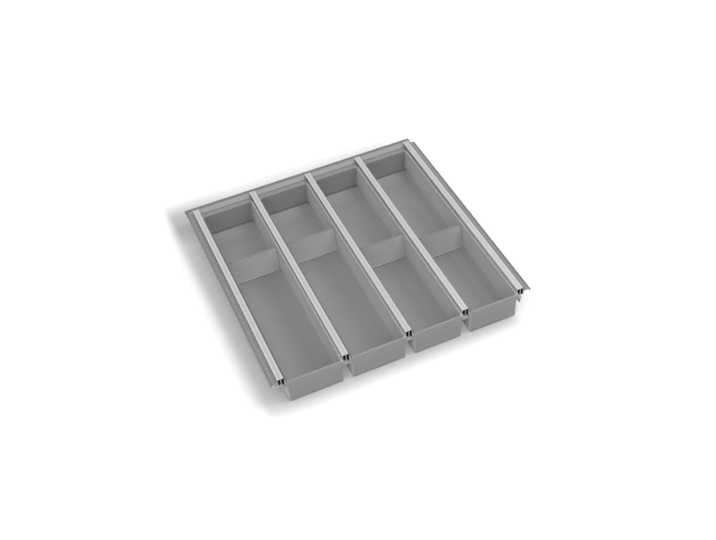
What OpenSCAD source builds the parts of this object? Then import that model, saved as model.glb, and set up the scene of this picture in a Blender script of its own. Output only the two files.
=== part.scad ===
/* [Height and depth] */
// Depth from the bins' front faces to the back of the rim
tray_d = 489; // [400:1:540]
// Height from the base of the bins to the top of the rails
tray_h = 60; // [48:1:80]
// Drop from the top of the rails to the deck: shoulders, rim and strips
deck_drop = 7.5; // [6:0.5:10]

/* [Bins] */
// Width of each of the two wide bins, joint line to joint line
wide_pitch = 116.6; // [90:0.1:130]
// Width of each of the two narrow bins, joint line to joint line
narrow_pitch = 108; // [80:0.1:120]
// Thickness of the moulded walls
wall_t = 2; // [1.5:0.1:2.5]
// Thickness of the floors
floor_t = 2; // [1.5:0.1:3]
// Draft of the walls in degrees
draft = 1.3; // [0.5:0.1:3]
// Radius inside, where the floor meets the walls
floor_fillet = 2.5; // [1:0.5:4]
// Radius outside, under the edge of the floor
base_round = 2.5; // [1:0.5:3]
// Width of the shoulder beside each rail
shoulder_w = 3.9; // [3:0.1:5]
// Radius where a shoulder turns down into the bin
shoulder_round = 1.8; // [1:0.1:2.2]
// Radius of a bin's inside corners in plan, at the least
corner_r = 4; // [3:0.5:10]
// Radius of its outside corners under the shoulders, at the least
corner_out_r = 4.5; // [3:0.5:6]
// Thickness of the front wall
front_wall_t = 4.7; // [3.5:0.1:6]
// Radius over the top outer edge of the front wall
front_round = 1.6; // [1:0.1:2]
// Height of the hem that carries the front edge across to the gutters
front_hem_h = 7; // [5:0.5:9]

/* [Back rim] */
// Width of the rim, from the back wall's inner face to its back edge
rim_w = 38.5; // [34:0.5:46]
// Thickness of the rim and the strips
rim_t = 2; // [1.5:0.1:2.5]
// Height of the lip that turns down at the rim's outer edges
lip_h = 8; // [7.5:0.5:10]
// Radius over the back edge of the rim
rim_round = 7; // [4:0.5:7]
// Width of the groove pressed along the rim
rim_groove_w = 5; // [3:0.5:7]
// Distance of that groove from the back wall's inner face
rim_groove_in = 7.5; // [3:0.5:9]
// Depth of the grooves in the rim and the strips
groove_depth = 1.1; // [0.5:0.1:1.3]
// How far the right bin's rim reaches past its rail
rim_reach = 14.8; // [12:0.1:16]

/* [Rails] */
// Width of a rail
rail_w = 11; // [10:0.5:16]
// Height of a rail, top face to the tips of its legs
rail_h = 15.5; // [13:0.5:20]
// Wall thickness of a rail
rail_t = 1.3; // [1:0.1:2]
// Width of the channel along a rail's top
rail_groove_w = 4.5; // [3:0.5:6]
// Depth of that channel
rail_groove_depth = 0.6; // [0.3:0.1:0.6]
// Distance from the bins' front faces to the rails' front ends
rail_front_gap = 6.4; // [2:0.1:12]
// Distance from the rails' back ends to the back of the rim
rail_back_gap = 19.4; // [12:0.1:24]
// Thickness of the upstanding rib that a rail holds
rib_t = 1.2; // [1:0.1:1.5]
// Thickness of the gutter floor that the rails' legs stand on
gutter_t = 1.8; // [1.5:0.1:2.5]

/* [Edge strips] */
// Width of the left edge strip, joint line to outer edge
strip_left_w = 17.9; // [17:0.1:30]
// Width of the right edge strip
strip_right_w = 21.3; // [17:0.1:30]
// Radius over the outer edge of a strip
strip_round = 4; // [3:0.5:4.5]
// Height of the lip that turns down along a strip
strip_lip_h = 5.5; // [5:0.5:9]
// Distance of the strip's groove from the rail's gutter
strip_groove_in = 2; // [1.5:0.5:3]
// Width of the groove pressed along a strip
strip_groove_w = 3; // [2:0.5:3]
// Height of the leg under a strip, below the gutter
strip_leg_h = 17.7; // [8:0.1:24]
// Thickness of that leg
strip_leg_t = 2; // [1.5:0.1:3]

/* [Cross dividers] */
// Drop from the top of the rails to the top of the dividers
divider_drop = 10; // [9:0.5:18]
// Lean of a divider's faces in degrees
divider_lean = 13.5; // [8:0.5:22]
// Width of a divider's top edge
divider_top_w = 3; // [2.5:0.5:5]
// Wall thickness of a divider
divider_t = 1.8; // [1.2:0.1:2.4]
// Height of the foot round a divider's base
foot_h = 2; // [1.5:0.5:3]
// How far that foot stands proud
foot_w = 1; // [0.6:0.1:1.5]
// Place of the divider in the left wide bin, from the middle of the depth
divider_1_y = 67.5; // [-100:0.5:130]
// Place of the divider in the right wide bin
divider_2_y = 66.5; // [-100:0.5:130]
// Place of the divider in the left narrow bin
divider_3_y = -9.5; // [-100:0.5:130]
// Place of the divider in the right narrow bin
divider_4_y = -35.5; // [-100:0.5:130]

/* [Hidden] */

// Gap kept between two pieces that meet at a joint line, on each side of the line
joint_gap = 0.05;
// Side gap between a rail's leg and the wall of its gutter
rail_side_gap = 0.5;
// Gap between a rail's inside and the top of the ribs
rib_top_gap = 0.5;
// End gap between a rail and the stop behind it
rail_end_gap = 0.3;
// Gap round a divider, to the walls and the floor of its bin
slide_gap = 0.3;
// Narrowest width of the hollow inside a divider, at its top
hollow_top_w = 0.6;
// Steps in a rounded corner
steps = 6;
// Length by which a cutting shape runs past what it cuts
past = 1;

plastic_grey = [0.55, 0.55, 0.555];
divider_grey = [0.6, 0.6, 0.605];
satin_aluminium = [0.82, 0.83, 0.84];

pitches = [wide_pitch, wide_pitch, narrow_pitch, narrow_pitch];
bins_w = wide_pitch * 2 + narrow_pitch * 2;
joint_1_x = strip_left_w - (strip_left_w + bins_w + strip_right_w) / 2;
// The five joint lines between the bins and beside the outer ones
joints = [
    joint_1_x, joint_1_x + wide_pitch, joint_1_x + wide_pitch * 2,
    joint_1_x + bins_w - narrow_pitch, joint_1_x + bins_w
];

front_y = -tray_d / 2;
rim_back_y = tray_d / 2;
back_wall_y = rim_back_y - rim_w;
rail_front_y = front_y + rail_front_gap;
rail_back_y = rim_back_y - rail_back_gap;
stop_y = rail_back_y + rail_end_gap;

deck_z = tray_h - deck_drop;
gutter_z = tray_h - rail_h;
rib_top_z = tray_h - rail_t - rib_top_gap;
divider_top_z = tray_h - divider_drop;

// Distances from a joint line
gutter_w = rail_w / 2 + rail_side_gap;
wall_in = gutter_w + shoulder_w;

// A length rounded to a thousandth of a millimetre, so that neighbouring faces meet exactly
function fine(v) = round(v * 1000) / 1000;

// How far a drafted wall has come inward at height z, from its place at the deck
function lean_in(z) = fine((deck_z - z) * tan(draft));

// A corner's radius in plan, large enough for an edge profile that comes inward by reach
function corner(r, reach) = max(r, fine(reach + 0.3));

// Points on an arc, from its centre, its radius and the two angles
function arc(centre, r, from, to) = [
    for (i = [0 : steps])
        let (a = from + (to - from) * i / steps)
        [fine(centre[0] + r * cos(a)), fine(centre[1] + r * sin(a))]
];

// Edge profile of a cavity, as points [inward, height] from its mouth to its floor:
// a shoulder rounded over, a drafted wall and a filleted foot
function cavity_edge() =
    let (
        foot_z = floor_t + floor_fillet,
        foot_in = lean_in(foot_z)
    )
    concat(
        [[-shoulder_round, tray_h + past]],
        arc([-shoulder_round, deck_z - shoulder_round], shoulder_round, 90, 0),
        arc([foot_in + floor_fillet, foot_z], floor_fillet, 180, 270)
    );

// Edge profile of a tub's outside, from the deck down to its base
function tub_edge() =
    let (foot_in = lean_in(base_round))
    concat(
        arc([front_round, deck_z - front_round], front_round, 90, 180),
        arc([foot_in + base_round, base_round], base_round, 180, 270)
    );

// An edge profile closed by its own mirror image over the width w
function closed_over(edge, w) =
    let (n = len(edge))
    concat(edge, [for (i = [n - 1 : -1 : 0]) [w - edge[i][0], edge[i][1]]]);

// Extrude an outline in X and Z along Y, from y0 to y1
module along_y(y0, y1) {
    translate([0, y1, 0])
        rotate([90, 0, 0])
            linear_extrude(height = y1 - y0)
                children();
}

// Extrude an outline in Y and Z along X, from x0 to x1
module along_x(x0, x1) {
    translate([x0, 0, 0])
        rotate([90, 0, 90])
            linear_extrude(height = x1 - x0)
                children();
}

// A box given by its two corners
module block(low, high) {
    translate(low)
        cube(high - low);
}

// A solid whose plan is a rectangle with corners of radius r, from low to high, and whose
// sides all follow one edge profile, straight along the sides and turned round the corners
module swept(low, high, r, edge) {
    size = high - low;
    translate([low[0], 0, 0])
        along_y(low[1] + r, high[1] - r)
            polygon(closed_over(edge, size[0]));
    translate([0, low[1], 0])
        along_x(low[0] + r, high[0] - r)
            polygon(closed_over(edge, size[1]));
    for (corner = [
        [high[0] - r, high[1] - r, 0], [low[0] + r, high[1] - r, 90],
        [low[0] + r, low[1] + r, 180], [high[0] - r, low[1] + r, 270]
    ])
        translate([corner[0], corner[1], 0])
            rotate([0, 0, corner[2]])
                rotate_extrude(angle = 90, $fn = 64)
                    polygon(concat(
                        [[0, edge[0][1]]],
                        [for (p = edge) [r - p[0], p[1]]],
                        [[0, edge[len(edge) - 1][1]]]
                    ));
}

// The space inside a bin of width w, whose joint line is at x = 0
module cavity(w) {
    swept(
        [wall_in, front_y + front_wall_t],
        [w - wall_in, back_wall_y],
        corner(corner_r, lean_in(floor_t + floor_fillet) + floor_fillet),
        cavity_edge()
    );
}

// The outside of a bin's tub, as a solid
module tub(w) {
    swept(
        [wall_in - wall_t, front_y],
        [w - wall_in + wall_t, back_wall_y + wall_t],
        corner(corner_out_r, lean_in(base_round) + base_round),
        tub_edge()
    );
}

// What lies behind a bin's front face, with the top edge rounded over
module behind_front(w) {
    along_x(0, w)
        polygon(concat(
            [[rim_back_y, gutter_z - gutter_t], [rim_back_y, deck_z]],
            arc([front_y + front_round, deck_z - front_round], front_round, 90, 180),
            [[front_y, gutter_z - gutter_t]]
        ));
}

// Section of a bin's side edge without its rib, the joint line at x = 0: gutter and shoulder
edge_section = [
    [joint_gap, gutter_z - gutter_t],
    [wall_in, gutter_z - gutter_t],
    [wall_in, deck_z],
    [gutter_w, deck_z],
    [gutter_w, gutter_z],
    [joint_gap, gutter_z]
];

// Side edge of a bin: the gutter and shoulder along its whole length, the upstanding rib
// where the rail lies, and the stop behind the rail's end
module side_edge() {
    intersection() {
        along_y(front_y, stop_y)
            polygon(edge_section);
        behind_front(wall_in);
    }
    block(
        [joint_gap, rail_front_y, gutter_z - gutter_t],
        [joint_gap + rib_t, stop_y, rib_top_z]
    );
    block(
        [joint_gap, stop_y, gutter_z - gutter_t],
        [wall_in, stop_y + wall_t, deck_z]
    );
}

// Section of the rim in Y and Z: inner edge, groove, flat band, rounded back and lip
function rim_section() =
    let (
        groove_y = back_wall_y + rim_groove_in,
        slope = groove_depth
    )
    concat(
        [
            [back_wall_y, deck_z - rim_t],
            [back_wall_y, deck_z],
            [groove_y, deck_z],
            [groove_y + slope, deck_z - groove_depth],
            [groove_y + rim_groove_w - slope, deck_z - groove_depth],
            [groove_y + rim_groove_w, deck_z]
        ],
        arc([rim_back_y - rim_round, deck_z - rim_round], rim_round, 90, 0),
        [
            [rim_back_y, deck_z - lip_h],
            [rim_back_y - rim_t, deck_z - lip_h]
        ],
        arc([rim_back_y - rim_round, deck_z - rim_round], rim_round - rim_t, 0, 90)
    );

// The rim from x0 to x1
module rim(x0, x1) {
    along_x(x0, x1)
        polygon(rim_section());
}

// What a rail takes out of the rim beside the joint line at x = 0
module rail_slot() {
    block(
        [-past, rail_front_y, gutter_z],
        [gutter_w, stop_y, tray_h]
    );
}

// Both side edges of a bin of width w, or whatever else belongs to each of its joint lines
module both_sides(w) {
    children();
    translate([w, 0, 0])
        mirror([1, 0, 0])
            children();
}

// A bin of width w between the joint lines at x = 0 and x = w
module bin(w) {
    difference() {
        union() {
            tub(w);
            intersection() {
                block(
                    [gutter_w, front_y, deck_z - front_hem_h],
                    [w - gutter_w, front_y + front_wall_t, deck_z]
                );
                behind_front(w);
            }
            difference() {
                rim(joint_gap, w - joint_gap);
                both_sides(w)
                    rail_slot();
            }
            both_sides(w)
                side_edge();
        }
        cavity(w);
    }
}

// An end of the rim behind the rails, from x0 to its rounded side at x = reach
module rim_end(x0, reach) {
    intersection() {
        rim(x0, reach);
        along_y(stop_y, rim_back_y)
            polygon(concat(
                [[x0, deck_z - lip_h], [x0, deck_z]],
                arc([reach - strip_round, deck_z - strip_round], strip_round, 90, 0),
                [[reach, deck_z - lip_h]]
            ));
    }
    block(
        [reach - rim_t, stop_y, deck_z - lip_h],
        [reach, rim_back_y - rim_t, deck_z - strip_round]
    );
}

module bin_wide_left() {
    color(plastic_grey)
        translate([joints[0], 0, 0])
            bin(wide_pitch);
}

module bin_wide_right() {
    color(plastic_grey)
        translate([joints[1], 0, 0])
            bin(wide_pitch);
}

module bin_narrow_left() {
    color(plastic_grey)
        translate([joints[2], 0, 0])
            bin(narrow_pitch);
}

module bin_narrow_right() {
    color(plastic_grey) {
        translate([joints[3], 0, 0])
            bin(narrow_pitch);
        translate([joints[4], 0, 0])
            rim_end(-gutter_w, rim_reach);
    }
}

// Section of an edge strip's channel, joint line at x = 0: rib, gutter and leg
strip_channel = [
    [joint_gap, rib_top_z],
    [joint_gap + rib_t, rib_top_z],
    [joint_gap + rib_t, gutter_z],
    [gutter_w, gutter_z],
    [gutter_w, deck_z],
    [gutter_w + rim_t, deck_z],
    [gutter_w + rim_t, gutter_z - gutter_t],
    [joint_gap + strip_leg_t, gutter_z - gutter_t],
    [joint_gap + strip_leg_t, gutter_z - gutter_t - strip_leg_h],
    [joint_gap, gutter_z - gutter_t - strip_leg_h]
];

// Section of its flange, with a groove and a lip, to the outer edge at x = w
function strip_flange(w) =
    let (
        groove_x = gutter_w + strip_groove_in,
        slope = groove_depth
    )
    concat(
        [
            [gutter_w, deck_z - rim_t],
            [gutter_w, deck_z],
            [groove_x, deck_z],
            [groove_x + slope, deck_z - groove_depth],
            [groove_x + strip_groove_w - slope, deck_z - groove_depth],
            [groove_x + strip_groove_w, deck_z]
        ],
        arc([w - strip_round, deck_z - strip_round], strip_round, 90, 0),
        [
            [w, deck_z - strip_lip_h],
            [w - rim_t, deck_z - strip_lip_h]
        ],
        arc([w - strip_round, deck_z - strip_round], strip_round - rim_t, 0, 90)
    );

// An edge strip of width w from the rails' front ends to y1, joint line at x = 0
module edge_strip(w, y1) {
    along_y(rail_front_y, y1) {
        polygon(strip_channel);
        polygon(strip_flange(w));
    }
}

// The left strip runs on behind its rail's end: a stop, and an end like the rim's
module edge_strip_left() {
    color(plastic_grey)
        translate([joints[0], 0, 0])
            mirror([1, 0, 0]) {
                edge_strip(strip_left_w, stop_y);
                rim_end(joint_gap, strip_left_w);
                block(
                    [joint_gap, stop_y, gutter_z - gutter_t],
                    [gutter_w + rim_t, stop_y + wall_t, deck_z]
                );
            }
}

module edge_strip_right() {
    color(plastic_grey)
        translate([joints[4], 0, 0])
            edge_strip(strip_right_w, rail_back_y);
}

// Section of a rail, a channel open below with a shallow channel along its top
rail_section = [
    [-rail_w / 2, tray_h],
    [-rail_w / 2, gutter_z],
    [-rail_w / 2 + rail_t, gutter_z],
    [-rail_w / 2 + rail_t, tray_h - rail_t],
    [rail_w / 2 - rail_t, tray_h - rail_t],
    [rail_w / 2 - rail_t, gutter_z],
    [rail_w / 2, gutter_z],
    [rail_w / 2, tray_h],
    [rail_groove_w / 2, tray_h],
    [rail_groove_w / 2 - rail_groove_depth, tray_h - rail_groove_depth],
    [-rail_groove_w / 2 + rail_groove_depth, tray_h - rail_groove_depth],
    [-rail_groove_w / 2, tray_h]
];

// The rail over joint line number i
module rail(i) {
    color(satin_aluminium)
        translate([joints[i], 0, 0])
            along_y(rail_front_y, rail_back_y)
                polygon(rail_section);
}

module rail_1() { rail(0); }
module rail_2() { rail(1); }
module rail_3() { rail(2); }
module rail_4() { rail(3); }
module rail_5() { rail(4); }

// Half depth of a divider at height z, and its base without the foot
function divider_half_d(z) = fine(divider_top_w / 2 + (divider_top_z - z) * tan(divider_lean));
divider_base_z = floor_t + slide_gap;
divider_base_d = divider_half_d(divider_base_z);

// Width at the top of the hollow, whose walls lean like the outer faces
hollow_slant = fine(divider_t / cos(divider_lean));
hollow_drop = fine(max(
    divider_t,
    (hollow_slant + hollow_top_w / 2 - divider_top_w / 2) / tan(divider_lean)
));
hollow_top_z = divider_top_z - hollow_drop;

// End profile of a divider, as points [inward, height], following the walls of its bin
function divider_end() =
    let (
        edge = wall_in + slide_gap,
        foot_z = divider_base_z + floor_fillet
    )
    concat(
        [[edge + lean_in(divider_top_z), divider_top_z]],
        arc([edge + lean_in(foot_z) + floor_fillet, foot_z], floor_fillet, 180, 270)
    );

// End profile of the hollow inside it
function hollow_end() =
    let (edge = wall_in + slide_gap + divider_t)
    [
        [edge + lean_in(hollow_top_z), hollow_top_z],
        [edge + lean_in(divider_base_z + floor_fillet), divider_base_z + floor_fillet],
        [edge + floor_fillet, divider_base_z - past]
    ];

// Outline in Y and Z between leaning faces, set in by inset, from bottom_z to top_z
module leaning(bottom_z, top_z, inset) {
    low_d = divider_half_d(bottom_z) - inset;
    top_d = divider_half_d(top_z) - inset;
    polygon([[-low_d, bottom_z], [low_d, bottom_z], [top_d, top_z], [-top_d, top_z]]);
}

// A divider for a bin of width w, hollow and open underneath
module divider_shell(w) {
    difference() {
        intersection() {
            along_y(-divider_base_d - foot_w, divider_base_d + foot_w)
                polygon(closed_over(divider_end(), w));
            union() {
                along_x(0, w)
                    leaning(divider_base_z, divider_top_z, 0);
                block(
                    [0, -divider_base_d - foot_w, divider_base_z],
                    [w, divider_base_d + foot_w, divider_base_z + foot_h]
                );
            }
        }
        intersection() {
            along_y(-divider_base_d, divider_base_d)
                polygon(closed_over(hollow_end(), w));
            along_x(0, w)
                leaning(divider_base_z - past, hollow_top_z, hollow_slant);
        }
    }
}

// The divider in bin number i, with its middle at y
module divider(i, y) {
    color(divider_grey)
        translate([joints[i], y, 0])
            divider_shell(pitches[i]);
}

module divider_1() { divider(0, divider_1_y); }
module divider_2() { divider(1, divider_2_y); }
module divider_3() { divider(2, divider_3_y); }
module divider_4() { divider(3, divider_4_y); }

bin_wide_left();
bin_wide_right();
bin_narrow_left();
bin_narrow_right();
edge_strip_left();
edge_strip_right();
rail_1();
rail_2();
rail_3();
rail_4();
rail_5();
divider_1();
divider_2();
divider_3();
divider_4();
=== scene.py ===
import math

import bpy
from mathutils import Matrix, Vector


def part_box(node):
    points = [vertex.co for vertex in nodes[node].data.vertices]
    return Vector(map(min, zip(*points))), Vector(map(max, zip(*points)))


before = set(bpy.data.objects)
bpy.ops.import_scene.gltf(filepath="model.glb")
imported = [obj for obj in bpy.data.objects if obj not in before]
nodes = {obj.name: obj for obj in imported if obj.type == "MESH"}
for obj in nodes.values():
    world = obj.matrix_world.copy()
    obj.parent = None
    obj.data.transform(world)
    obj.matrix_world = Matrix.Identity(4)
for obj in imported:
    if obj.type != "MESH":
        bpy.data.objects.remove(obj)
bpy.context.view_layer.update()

# Camera
# The tray is seen from the front left and from above, a little rolled, through a lens
# a bit longer than normal.
CAMERA_PLACE = Vector((-0.4642, -1.287, 1.3805))
CAMERA_HEADING = math.radians(20.371)
CAMERA_DIP = math.radians(45.423)
CAMERA_ROLL = math.radians(-4.84)
CAMERA_LENS = 51.89
SENSOR_WIDTH = 36.0

ahead = Vector((
    math.sin(CAMERA_HEADING) * math.cos(CAMERA_DIP),
    math.cos(CAMERA_HEADING) * math.cos(CAMERA_DIP),
    -math.sin(CAMERA_DIP),
))
level = Vector((math.cos(CAMERA_HEADING), -math.sin(CAMERA_HEADING), 0.0))
upright = level.cross(ahead)
side = math.cos(CAMERA_ROLL) * level + math.sin(CAMERA_ROLL) * upright
top = -math.sin(CAMERA_ROLL) * level + math.cos(CAMERA_ROLL) * upright
turn = Matrix((side, top, -ahead)).transposed().to_4x4()

camera_data = bpy.data.cameras.new("camera")
camera_data.lens = CAMERA_LENS
camera_data.sensor_width = SENSOR_WIDTH
camera_data.clip_start = 0.05
camera_data.clip_end = 60.0
camera = bpy.data.objects.new("camera", camera_data)
camera.matrix_world = Matrix.Translation(CAMERA_PLACE) @ turn
bpy.context.scene.collection.objects.link(camera)
bpy.context.scene.camera = camera
bpy.context.scene.view_settings.view_transform = "Standard"


# Bins
# Four open trays moulded in one grey plastic, two wide and two narrow, with drafted walls,
# a shoulder and a rib along each side and a stepped rim with a lip at the back. The mould
# is eroded to a fine even grain, and handling has rubbed the edges. Light and shade are
# painted on them in zones.
class Socket:
    """A node's output, with the operators that build up shader values from it."""

    def __init__(self, tree, out):
        self.tree = tree
        self.out = out

    def _maths(self, operation, *values):
        node = self.tree.nodes.new("ShaderNodeMath")
        node.operation = operation
        for slot, value in enumerate(values):
            if isinstance(value, Socket):
                self.tree.links.new(value.out, node.inputs[slot])
            else:
                node.inputs[slot].default_value = value
        return Socket(self.tree, node.outputs[0])

    def __add__(self, other):
        return self._maths("ADD", self, other)

    def __radd__(self, other):
        return self._maths("ADD", other, self)

    def __sub__(self, other):
        return self._maths("SUBTRACT", self, other)

    def __rsub__(self, other):
        return self._maths("SUBTRACT", other, self)

    def __mul__(self, other):
        return self._maths("MULTIPLY", self, other)

    def __rmul__(self, other):
        return self._maths("MULTIPLY", other, self)

    def __truediv__(self, other):
        return self._maths("DIVIDE", self, other)

    def __pow__(self, other):
        return self._maths("POWER", self, other)

    def __abs__(self):
        return self._maths("ABSOLUTE", self)

    def least(self, other):
        return self._maths("MINIMUM", self, other)

    def clipped(self, low=0.0, high=1.0):
        return self._maths("MAXIMUM", self, low).least(high)


class Nodes:
    """The node tree of a material or of the world, whose nodes all come from one method."""

    def __init__(self, tree):
        self.tree = tree

    def node(self, kind, settings=None, output=0, **inputs):
        """Adds a node: its settings first, then its inputs.

        An input goes by its name, with _ for a space, or by its number, as at0.
        """
        node = self.tree.nodes.new("ShaderNode" + kind)
        for name, value in (settings or {}).items():
            setattr(node, name, value)
        for name, value in inputs.items():
            self.plug(node, name, value)
        return Socket(self.tree, node.outputs[output])

    def plug(self, node, name, value):
        if name.startswith("at"):
            target = node.inputs[int(name[2:])]
        else:
            target = node.inputs[name.replace("_", " ")]
        if isinstance(value, Socket):
            self.tree.links.new(value.out, target)
        else:
            target.default_value = value

    def placed(self):
        """The three coordinates of a place in the shared frame, in metres."""
        place = self.node("TexCoord", output="Object")
        return [self.node("SeparateXYZ", output=axis, Vector=place) for axis in "XYZ"]

    def facing_across(self):
        """How far a face looks to the right, from -1 to 1."""
        normal = self.node("NewGeometry", output="True Normal")
        return self.node("SeparateXYZ", output="X", Vector=normal)

    def blend(self, share, first, second):
        """The colour between two colours, at the share of the second."""
        return self.node(
            "Mix", {"data_type": "RGBA"}, output=2, at0=share, at6=first, at7=second
        )


class Finish(Nodes):
    """A material with one Principled shader."""

    def __init__(self, name):
        self.material = bpy.data.materials.new(name)
        self.material.use_nodes = True
        super().__init__(self.material.node_tree)
        self.shader = self.tree.nodes["Principled BSDF"]

    def set(self, **inputs):
        """Sets the shader's sockets, each to a value or a link."""
        for name, value in inputs.items():
            self.plug(self.shader, name, value)

    def wear(self, node_names):
        """Gives the finish to the CAD nodes named."""
        for name in node_names:
            mesh = nodes[name].data
            mesh.materials.clear()
            mesh.materials.append(self.material)


def beyond(value, edge, blur):
    """Goes from 0 to 1 as the value passes an edge, over the length blur."""
    return ((value - (edge - blur / 2)) / blur).clipped()


def between(value, low, high, blur):
    """Is 1 between two edges and 0 outside them."""
    return beyond(value, low, blur) * (1.0 - beyond(value, high, blur))


def beside(lines, across, low, high, blur):
    """Is 1 between two distances to the right of any of the lines."""
    share = 0.0
    for line in lines:
        share = between(across, line + low, line + high, blur) + share
    return share


def from_nearest(lines, across):
    """Distance to the nearest of the lines."""
    nearest = abs(across - lines[0])
    for line in lines[1:]:
        nearest = nearest.least(abs(across - line))
    return nearest


def grey(shade, blue=0.002):
    """A grey of the plastic, which has a trace of blue in it."""
    return (shade, shade, shade + blue, 1.0)


BINS = ("bin_wide_left", "bin_wide_right", "bin_narrow_left", "bin_narrow_right")
RAILS = ("rail_1", "rail_2", "rail_3", "rail_4", "rail_5")
JOINTS = [(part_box(name)[0].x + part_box(name)[1].x) / 2 for name in RAILS]
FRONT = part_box(BINS[0])[0].y
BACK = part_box(BINS[0])[1].y
RAIL_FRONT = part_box(RAILS[0])[0].y
RAIL_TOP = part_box(RAILS[0])[1].z

# How much a side wall faces sideways, with the blur
SIDEWAYS = (0.85, 0.2)

# Edges of the zones of painted light and shade: one or two places in metres, then the blur
# at them
FLOOR_HEIGHT = (0.0035, 0.001)
FLOOR_MIDDLE = (0.046, 0.026)
FLOOR_RIGHT = (-0.028, 0.030)
FLOOR_BACK = (0.1850, 0.0360)
MIDDLE_FADE = (0.110, 0.080)
MIDDLE_LOST = 0.75
WALL_HEIGHTS = (0.004, 0.0505, 0.002)
WALL_RISE = (0.0275, 0.037)
BACK_WALL = (0.2040, 0.001)
BACK_WALL_FACE = (0.2040, 0.2070, 0.0006)
CREASE_HEIGHTS = (0.0030, 0.0085, 0.001)
CREASE = (0.1990, 0.2070, 0.0006)
DECK_HEIGHT = (0.0515, 0.0004)
SHOULDER_RIGHT = (0.0060, 0.0099, 0.0004)
SHOULDER_LEFT = (-0.0099, -0.0060, 0.0004)
FRONT_FACE = (FRONT + 0.0010, 0.0006)
RIM_HEIGHT = (0.0490, 0.0010)
RIDGE = (0.2062, 0.2132, 0.0012)
GROOVE = (0.2132, 0.2188, 0.0012)
RIM = (0.2188, 0.0012)
LIP = (BACK - 0.0122, 0.003)

# The spaces inside the rails, painted black as shade, and the plastic ends before them,
# painted light
HIDDEN_BLUR = 0.0002
SPACE_HALF = 0.0042
SPACE_HEIGHTS = (0.0470, RAIL_TOP - 0.0009)
SPACE_FRONT = RAIL_FRONT + 0.0004
SPACE_BACK = 0.2250
LEFT_RIB = (-0.0014, -0.0001)
RIB_END_DEPTH = 0.0010
JOINT_END_HALF = (0.0072, 0.0004)
GUTTER_HEIGHT = (0.0420, 0.0004)

# The plastic's own grey, then the greys painted over it as light and shade
BIN_GREY = grey(0.275)
FLOOR_MIDDLE_SHADE_GREY = grey(0.228)
FLOOR_RIGHT_LIT_GREY = grey(0.335)
FLOOR_BACK_LIT_GREY = grey(0.40)
WALL_FOOT_LIT_GREY = grey(0.55)
WALL_TOP_LIT_GREY = grey(0.43)
BACK_FOOT_SHADE_GREY = grey(0.31)
BACK_TOP_SHADE_GREY = grey(0.25, 0.001)
CREASE_SHADE_GREY = grey(0.235, 0.001)
SHOULDER_LIT = grey(0.39)
SHOULDER_SHADED = grey(0.12, 0.001)
FRONT_SHADE_GREY = grey(0.227)
RIDGE_SHADE_GREY = grey(0.225)
GROOVE_SHADE_GREY = grey(0.195)
RIM_LIT_GREY = grey(0.295)
LIP_SHADE_GREY = grey(0.160, 0.001)
JOINT_END_LIT_GREY = grey(0.48)
JOINT_FRONT_LIT_GREY = grey(0.30)
# Black painted as shade in the spaces inside the rails; the faint flow marks darken towards
# it too
SHADE_AND_FLOW_BLACK = grey(0.004, 0.0)
RUBBED_WHITE = grey(0.8, 0.0)

GRAIN_FINENESS = 1400.0
FLOW_FINENESS = 9.0
RUBBING_FINENESS = 60.0
EDGE_ROUND = 0.0005
EDGE_SAMPLES = 6
EDGE_GAIN = 9.0
GRAIN_DEPTH = 0.0002
PLASTIC_ROUGHNESS = 0.52
PLASTIC_SPECULAR = 0.42
FLOW_SHARE = 0.06
RUBBED_SHARE = 0.16


def in_rail(finish):
    """Where black is painted as shade: the narrow spaces inside the rails, which no light
    reaches.
    """
    across, along, height = finish.placed()
    near = 1.0 - beyond(from_nearest(JOINTS, across), SPACE_HALF, HIDDEN_BLUR)
    inside = between(along, SPACE_FRONT, SPACE_BACK, HIDDEN_BLUR)
    rib_end = beside(JOINTS, across, *LEFT_RIB, HIDDEN_BLUR) * between(
        along, SPACE_FRONT - RIB_END_DEPTH, SPACE_FRONT, HIDDEN_BLUR
    )
    upright = between(height, *SPACE_HEIGHTS, HIDDEN_BLUR)
    return near * upright * (inside + rib_end).clipped()


def joint_end(finish):
    """The front ends of the gutters and ribs, painted lighter as lit before the rails."""
    across, along, height = finish.placed()
    near = 1.0 - beyond(from_nearest(JOINTS, across), *JOINT_END_HALF)
    before = 1.0 - beyond(along, SPACE_FRONT - HIDDEN_BLUR / 2, HIDDEN_BLUR)
    return near * beyond(height, *GUTTER_HEIGHT) * before


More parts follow.
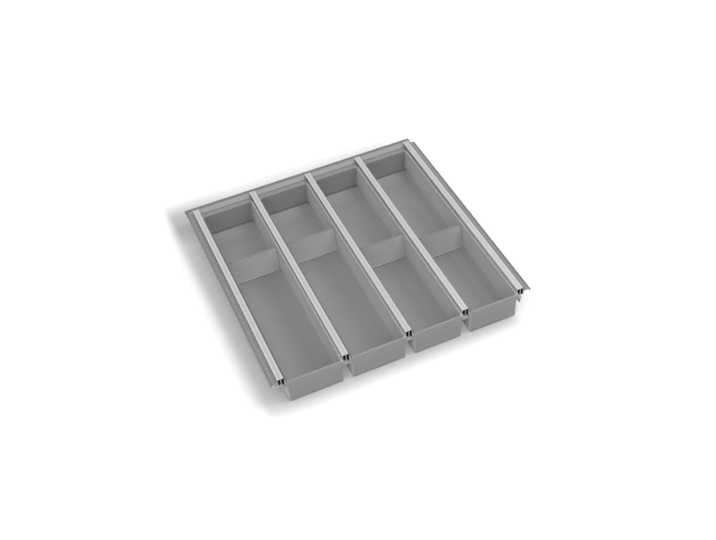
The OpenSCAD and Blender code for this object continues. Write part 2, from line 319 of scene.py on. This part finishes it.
def moulded_plastic(name, colour, zones):
    """Matt plastic with the mould's grain, faint flow marks, rubbed edges and zones of
    painted light and shade.
    """
    finish = Finish(name)
    place = finish.node("TexCoord", output="Object")
    grain = finish.node(
        "TexNoise", Vector=place, Scale=GRAIN_FINENESS, Detail=3.0, Roughness=0.6
    )
    flow = finish.node(
        "TexNoise", Vector=place, Scale=FLOW_FINENESS, Detail=3.0, Roughness=0.5
    )
    rubbing = finish.node(
        "TexNoise", Vector=place, Scale=RUBBING_FINENESS, Detail=4.0, Roughness=0.7
    )

    round_edge = finish.node("Bevel", {"samples": EDGE_SAMPLES}, Radius=EDGE_ROUND)
    cosine = finish.node(
        "VectorMath", {"operation": "DOT_PRODUCT"}, output="Value",
        at0=round_edge, at1=finish.node("NewGeometry", output="Normal"),
    )
    edge = ((1.0 - cosine) * EDGE_GAIN).clipped() * (rubbing * 1.6 - 0.3).clipped()

    body = colour
    for share, zone_colour in zones(finish):
        body = finish.blend(share, body, zone_colour)
    marked = finish.blend((flow * 2.4 - 0.7).clipped() * FLOW_SHARE, body, SHADE_AND_FLOW_BLACK)
    # The black painted as shade inside the rails is made a metal, which has no gloss, so it
    # stays black.
    finish.set(
        Base_Color=finish.blend(edge * RUBBED_SHARE, marked, RUBBED_WHITE),
        Roughness=PLASTIC_ROUGHNESS + (grain - 0.5) * 0.16 - edge * 0.1,
        Metallic=in_rail(finish),
        Normal=finish.node(
            "Bump", Strength=0.18, Distance=GRAIN_DEPTH, Height=grain, Normal=round_edge
        ),
        Specular_IOR_Level=PLASTIC_SPECULAR,
    )
    return finish


def bin_zones(finish):
    """Where light and shade are painted on the bins, each as a share and a colour, the
    later on top.
    """
    across, along, height = finish.placed()
    before_back = 1.0 - beyond(along, *BACK_WALL)

    low = 1.0 - beyond(height, *FLOOR_HEIGHT)
    shaded_middle, lit_right_foot = 0.0, 0.0
    for left, right in zip(JOINTS, JOINTS[1:]):
        foot = beyond(across, right + FLOOR_RIGHT[0], FLOOR_RIGHT[1])
        shaded_middle = beyond(across, left + FLOOR_MIDDLE[0], FLOOR_MIDDLE[1]) * (
            1.0 - foot
        ) + shaded_middle
        lit_right_foot = foot * (1.0 - beyond(across, right, 0.001)) + lit_right_foot
    in_front = 1.0 - MIDDLE_LOST * beyond(along, *MIDDLE_FADE)

    sideways = beyond(abs(finish.facing_across()), *SIDEWAYS)
    wall = between(height, *WALL_HEIGHTS)
    rise = beyond(height, *WALL_RISE)
    shaded_crease = between(height, *CREASE_HEIGHTS) * between(along, *CREASE)

    deck = beyond(height, *DECK_HEIGHT) * before_back
    front = 1.0 - beyond(along, *FRONT_FACE)
    rim = beyond(height, *RIM_HEIGHT)
    return (
        # Painted shade: each floor darker across its centre, less so towards the back
        (shaded_middle * low * in_front, FLOOR_MIDDLE_SHADE_GREY),
        # Painted light: each floor lighter along the foot of its right wall, against the
        # shade there
        (lit_right_foot * low, FLOOR_RIGHT_LIT_GREY),
        # Painted light: the floors lighter near the back walls
        (beyond(along, *FLOOR_BACK) * before_back * low, FLOOR_BACK_LIT_GREY),
        # Painted light: the side walls lighter than the floors, most of all at their feet
        (
            sideways * wall * before_back,
            finish.blend(rise, WALL_FOOT_LIT_GREY, WALL_TOP_LIT_GREY),
        ),
        # Painted shade: the back walls much darker than the side walls, darkest towards the
        # top
        (
            wall * between(along, *BACK_WALL_FACE),
            finish.blend(rise, BACK_FOOT_SHADE_GREY, BACK_TOP_SHADE_GREY),
        ),
        # Painted shade in the crease at the foot of the back walls
        (shaded_crease, CREASE_SHADE_GREY),
        # Painted light on the shoulder left of each rail, painted shade on the shoulder
        # right of it
        (deck * beside(JOINTS[1:], across, *SHOULDER_LEFT), SHOULDER_LIT),
        (deck * beside(JOINTS[:-1], across, *SHOULDER_RIGHT), SHOULDER_SHADED),
        # Painted shade: the front faces darker
        (front, FRONT_SHADE_GREY),
        # Painted light on the plastic ends before the rails
        (joint_end(finish), finish.blend(front, JOINT_END_LIT_GREY, JOINT_FRONT_LIT_GREY)),
        # Painted shade on the rim's ridge and in its groove, painted light on its flat band
        (rim * between(along, *RIDGE), RIDGE_SHADE_GREY),
        (rim * beyond(along, *RIM), RIM_LIT_GREY),
        (rim * between(along, *GROOVE), GROOVE_SHADE_GREY),
        # Painted shade on the lip at the back
        (beyond(along, *LIP), LIP_SHADE_GREY),
        # Black painted as shade inside the rails
        (in_rail(finish), SHADE_AND_FLOW_BLACK),
    )


moulded_plastic("bin_plastic", BIN_GREY, bin_zones).wear(BINS)

# Edge strips
# Extruded strips of the same plastic, one at each side of the tray. Each has a rib that
# its rail holds, a flat flange with a lip turned down and a leg below. Shade is painted on
# the lips and on the right strip.
STRIPS = ("edge_strip_left", "edge_strip_right")
STRIP_LIP = (-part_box(STRIPS[0])[0].x - 0.0048, 0.0015)
STRIP_GREY = grey(0.28)
STRIP_RIGHT_SHADE_GREY = grey(0.25)
STRIP_LIP_SHADE_GREY = grey(0.19, 0.001)
STRIP_LIP_RIGHT_SHADE_GREY = grey(0.105, 0.001)


def strip_zones(finish):
    """Painted shade on the lips and the right strip, light on the ends, black shade on the
    ribs.
    """
    across, along, _ = finish.placed()
    right = beyond(across, 0.0, 0.001)
    front = 1.0 - beyond(along, *FRONT_FACE)
    return (
        # Painted shade on the right strip, and darker still on the lips
        (right, STRIP_RIGHT_SHADE_GREY),
        (
            beyond(abs(across), *STRIP_LIP),
            finish.blend(right, STRIP_LIP_SHADE_GREY, STRIP_LIP_RIGHT_SHADE_GREY),
        ),
        # Painted light on the plastic ends before the rails
        (joint_end(finish), finish.blend(front, JOINT_END_LIT_GREY, JOINT_FRONT_LIT_GREY)),
        # Painted shade on the lip at the back
        (beyond(along, *LIP), LIP_SHADE_GREY),
        # Black painted as shade inside the rails
        (in_rail(finish), SHADE_AND_FLOW_BLACK),
    )


moulded_plastic("strip_plastic", STRIP_GREY, strip_zones).wear(STRIPS)

# Rails
# Five drawn aluminium channels, pushed down over the upstanding ribs of the bins and
# strips. They are satin anodised, with fine lines along their length from the die. Black
# is painted inside them as shade, shade is painted along the channel in the top, and light
# is painted on their left sides.
CHANNEL_HALF = (0.0022, 0.0004)
CHANNEL_SHARE = 0.8
LEG_INSIDE = 0.0049
RIGHT_LEG = (0.0030, 0.0060)
LEFT_FACING = (-0.85, 0.2)
LEFT_SIDE_FADE = (0.0, 0.24)
DIE_LINE_FINENESS = (900.0, 3.0, 900.0)
DIE_LINE_DEPTH = 0.0001
CLOUD_FINENESS = 35.0
RAIL_EDGE_ROUND = 0.0003
RAIL_ROUGHNESS = 0.36


def aluminium(shade):
    """Bare aluminium's grey, a trace cool."""
    return (shade + 0.005, shade, shade + 0.010, 1.0)


ALUMINIUM_BRIGHT = aluminium(0.65)
ALUMINIUM_DULL = aluminium(0.57)
# Painted shade for the channel, and painted light for the left sides
ALUMINIUM_CHANNEL_SHADE = aluminium(0.50)
ALUMINIUM_LIT_SIDE = aluminium(0.885)

satin = Finish("rail_aluminium")
rail_place = satin.node("TexCoord", output="Object")
die_lines = satin.node(
    "TexNoise", Scale=1.0, Detail=4.0, Roughness=0.6,
    Vector=satin.node("Mapping", Vector=rail_place, Scale=DIE_LINE_FINENESS),
)
cloud = satin.node("TexNoise", Vector=rail_place, Scale=CLOUD_FINENESS, Detail=3.0)
polished = satin.blend(
    (die_lines * 0.7 + cloud * 0.5 - 0.1).clipped(), ALUMINIUM_DULL, ALUMINIUM_BRIGHT
)

rail_across, rail_along, rail_height = satin.placed()
from_middle = from_nearest(JOINTS, rail_across)
# Painted shade along the channel in the centre of the top
channel = 1.0 - beyond(from_middle, *CHANNEL_HALF)
# Painted light on the left sides, fading towards the back
lit_left_side = (1.0 - beyond(satin.facing_across(), *LEFT_FACING)) * (
    1.0 - beyond(rail_along, *LEFT_SIDE_FADE)
)
lined = satin.blend(
    lit_left_side,
    satin.blend(channel * CHANNEL_SHARE, polished, ALUMINIUM_CHANNEL_SHADE),
    ALUMINIUM_LIT_SIDE,
)

# Black painted as shade inside the rails and on the front end of each right leg
right_leg_end = beside(JOINTS, rail_across, *RIGHT_LEG, HIDDEN_BLUR) * (
    1.0 - beyond(rail_along, SPACE_FRONT, HIDDEN_BLUR)
)
inner = 1.0 - beyond(from_middle, LEG_INSIDE, HIDDEN_BLUR)
shaded_inside = (inner + right_leg_end).clipped() * (
    1.0 - beyond(rail_height, SPACE_HEIGHTS[1], HIDDEN_BLUR)
)
satin.set(
    Base_Color=satin.blend(shaded_inside, lined, SHADE_AND_FLOW_BLACK),
    Metallic=1.0,
    Roughness=RAIL_ROUGHNESS + (die_lines - 0.5) * 0.14 + (cloud - 0.5) * 0.06,
    Normal=satin.node(
        "Bump", Strength=0.12, Distance=DIE_LINE_DEPTH, Height=die_lines,
        Normal=satin.node("Bevel", {"samples": EDGE_SAMPLES}, Radius=RAIL_EDGE_ROUND),
    ),
)
satin.wear(RAILS)

# Cross dividers
# Four loose dividers, one in each bin, hollow and open underneath, with leaning faces
# and a small foot all round. They are moulded in a lighter plastic, with light painted at
# their feet and right ends and shade painted higher up and along their top edges.
DIVIDERS = ("divider_1", "divider_2", "divider_3", "divider_4")
# Where light and shade are painted on the dividers
DIVIDER_RISE = (0.0290, 0.036)
DIVIDER_TOP = (0.0493, 0.0008)
DIVIDER_RIGHT = (-0.023, 0.0, 0.020)
DIVIDER_RIGHT_SHARE = 0.7
DIVIDER_LIT_FOOT_GREY = grey(0.475)
DIVIDER_UPPER_SHADE_GREY = grey(0.365)
DIVIDER_RIGHT_LIT_GREY = grey(0.50)
DIVIDER_TOP_SHADE_GREY = grey(0.195, 0.001)


def divider_zones(finish):
    """Painted light at a divider's foot and right end, painted shade higher up and on its
    top edge.
    """
    across, _, height = finish.placed()
    lit_right_end = beside(JOINTS[1:], across, *DIVIDER_RIGHT) * DIVIDER_RIGHT_SHARE
    return (
        (beyond(height, *DIVIDER_RISE), DIVIDER_UPPER_SHADE_GREY),
        (lit_right_end, DIVIDER_RIGHT_LIT_GREY),
        (beyond(height, *DIVIDER_TOP), DIVIDER_TOP_SHADE_GREY),
    )


moulded_plastic("divider_plastic", DIVIDER_LIT_FOOT_GREY, divider_zones).wear(DIVIDERS)

# Floor
# A seamless white studio floor. A shadow of the tray is painted close round it, deepest
# on the left and at its back left corner, and light is painted glowing up from the floor in
# the three gaps between the bins. Far from the tray the floor turns pure white.
FLOOR_HALF = 30.0
FLOOR_WHITE = grey(0.95, 0.0)
FLOOR_BLACK = grey(0.0, 0.0)
FLOOR_ROUGHNESS = 0.9
FLOOR_GLOW = 0.42
FAR = (0.5, 1.3)
FAR_WHITE = grey(0.40, 0.0)
# Light painted glowing up from the floor in the gaps between the bins
GAP_WIDTH = (-0.0095, 0.0095, 0.002)
GAP_LENGTH = (FRONT + 0.004, 0.2, 0.024)
GAP_GLOW_WHITE = grey(0.42, 0.0)
# The shadow painted on the floor round the tray
SHADE = 0.25
SHADE_LEFT = (-0.280, -0.255)
SHADE_SLANT = 0.022
SHADE_RIGHT = (0.198, 0.226)
SHADE_FRONT = (-0.280, -0.244)
SHADE_BACK = (0.280, 0.352)
SHADE_CUT = (-0.548, -0.492)
CORNER_SHADE = 0.25
CORNER_FRONT = (0.190, 0.260)
CORNER_RIGHT = (-0.230, -0.110)
CONTACT_SHADE = 0.05
CONTACT_FRONT = (-0.264, -0.246)
CONTACT_LEFT = (-0.250, -0.205)

floor_mesh = bpy.data.meshes.new("floor")
floor_mesh.from_pydata(
    [
        (-FLOOR_HALF, -FLOOR_HALF, 0.0), (FLOOR_HALF, -FLOOR_HALF, 0.0),
        (FLOOR_HALF, FLOOR_HALF, 0.0), (-FLOOR_HALF, FLOOR_HALF, 0.0),
    ],
    [], [(0, 1, 2, 3)],
)
floor = bpy.data.objects.new("floor", floor_mesh)
bpy.context.scene.collection.objects.link(floor)
floor_paint = Finish("floor_paint")
floor_across, floor_along, _ = floor_paint.placed()


def rising(value, limits):
    """Goes smoothly from 0 to 1 between two limits."""
    return floor_paint.node(
        "MapRange", {"interpolation_type": "SMOOTHSTEP"},
        Value=value, From_Min=limits[0], From_Max=limits[1],
    )


def falling(value, limits):
    """Goes smoothly from 1 to 0 between two limits."""
    return 1.0 - rising(value, limits)


def seen(surface):
    """Is 1 for what the camera sees, straight, in a gloss or through glass."""
    rays = [
        surface.node("LightPath", output=ray)
        for ray in ("Is Camera Ray", "Is Glossy Ray", "Is Transmission Ray")
    ]
    return (rays[0] + rays[1] + rays[2]).clipped()


corner_shade = CORNER_SHADE * rising(floor_along, CORNER_FRONT) * falling(
    floor_across, CORNER_RIGHT
)
contact_shade = CONTACT_SHADE * rising(floor_along, CONTACT_FRONT) * falling(
    floor_along, CORNER_FRONT
) * rising(floor_across, CONTACT_LEFT)
# The painted shadow's share of the floor's colour
shade = (
    rising(floor_across + floor_along * SHADE_SLANT, SHADE_LEFT)
    * falling(floor_across, SHADE_RIGHT)
    * rising(floor_across + floor_along, SHADE_CUT)
    * rising(floor_along, SHADE_FRONT)
    * falling(floor_along, SHADE_BACK)
    * (SHADE + corner_shade + contact_shade)
)
# Where light is painted glowing up in the gaps
gap_glow = beside(JOINTS[1:4], floor_across, *GAP_WIDTH) * between(floor_along, *GAP_LENGTH)
distance = (floor_across * floor_across + floor_along * floor_along) ** 0.5
far = rising(distance, FAR) * seen(floor_paint)
floor_paint.set(
    Base_Color=floor_paint.blend(shade, FLOOR_WHITE, FLOOR_BLACK),
    Roughness=FLOOR_ROUGHNESS,
    Specular_IOR_Level=0.0,
    Emission_Color=floor_paint.blend(
        gap_glow, floor_paint.blend(far, FLOOR_BLACK, FAR_WHITE), GAP_GLOW_WHITE
    ),
    Emission_Strength=FLOOR_GLOW,
)
floor_mesh.materials.append(floor_paint.material)

# Light
# An even white surround gives most of the light. Two soft lamps on the right cast the
# shadow to the left, one hangs overhead and a weak one stands before the left corner.
SURROUND_LEVEL = 0.88
SURROUND_SEEN = 1.0
SURROUND_WHITE = grey(1.0, 0.0)

# Each lamp's place and width in metres, and its power in watts
LAMPS = {
    "key_back": ((1.5, 0.4, 1.9), 1.2, 4.8),
    "key_front": ((1.2, -0.6, 2.2), 0.8, 14.8),
    "overhead": ((0.0, 0.0, 2.6), 2.0, 3.2),
    "fill_front": ((-1.8, -1.6, 1.2), 1.4, 10.4),
}

world = bpy.data.worlds.new("surround")
bpy.context.scene.world = world
world.use_nodes = True
surround = Nodes(world.node_tree)
sky = world.node_tree.nodes["Background"]
surround.plug(sky, "Color", SURROUND_WHITE)
surround.plug(
    sky, "Strength",
    seen(surround) * (SURROUND_SEEN - SURROUND_LEVEL) + SURROUND_LEVEL,
)

for lamp_name, (lamp_place, lamp_size, lamp_power) in LAMPS.items():
    lamp_data = bpy.data.lights.new(lamp_name, "AREA")
    lamp_data.shape = "SQUARE"
    lamp_data.size = lamp_size
    lamp_data.energy = lamp_power
    lamp = bpy.data.objects.new(lamp_name, lamp_data)
    lamp.location = lamp_place
    lamp.rotation_mode = "QUATERNION"
    lamp.rotation_quaternion = (-Vector(lamp_place)).to_track_quat("-Z", "Y")
    bpy.context.scene.collection.objects.link(lamp)
